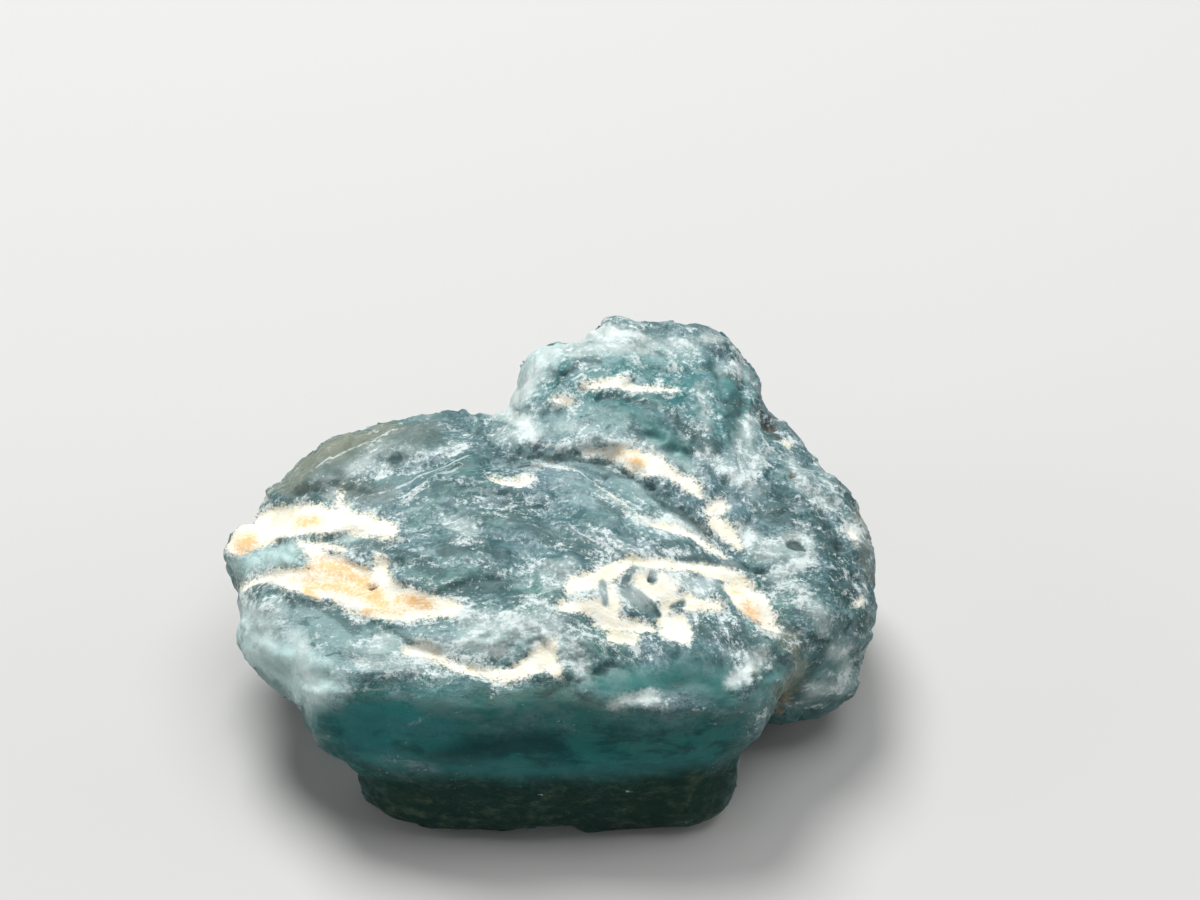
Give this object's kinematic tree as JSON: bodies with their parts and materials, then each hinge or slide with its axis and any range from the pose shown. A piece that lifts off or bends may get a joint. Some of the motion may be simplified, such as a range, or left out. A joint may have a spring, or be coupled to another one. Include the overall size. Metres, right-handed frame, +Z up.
{
  "type": "grandidierite crystal",
  "caption": "Waterworn, lumpy blue-green grandidierite crystal with a raised back lobe, cream and rusty crusts, resting on a flat foot.",
  "frame": {"origin": "middle of the stone's box in plan, on the plane of its flat foot", "axes": "+X along the stone's longest side, to the right as seen from the front; +Y from the front face towards the back lobe; +Z up from the flat foot"},
  "size_m": [0.0262, 0.0224, 0.01],
  "materials": {
    "grandidierite": "waterworn, waxy to glassy blue-green stone with white, cream and rusty crusts in its hollows"
  },
  "bodies": {
    "root": {"crystal": "grandidierite"}
  },
  "joints": []
}
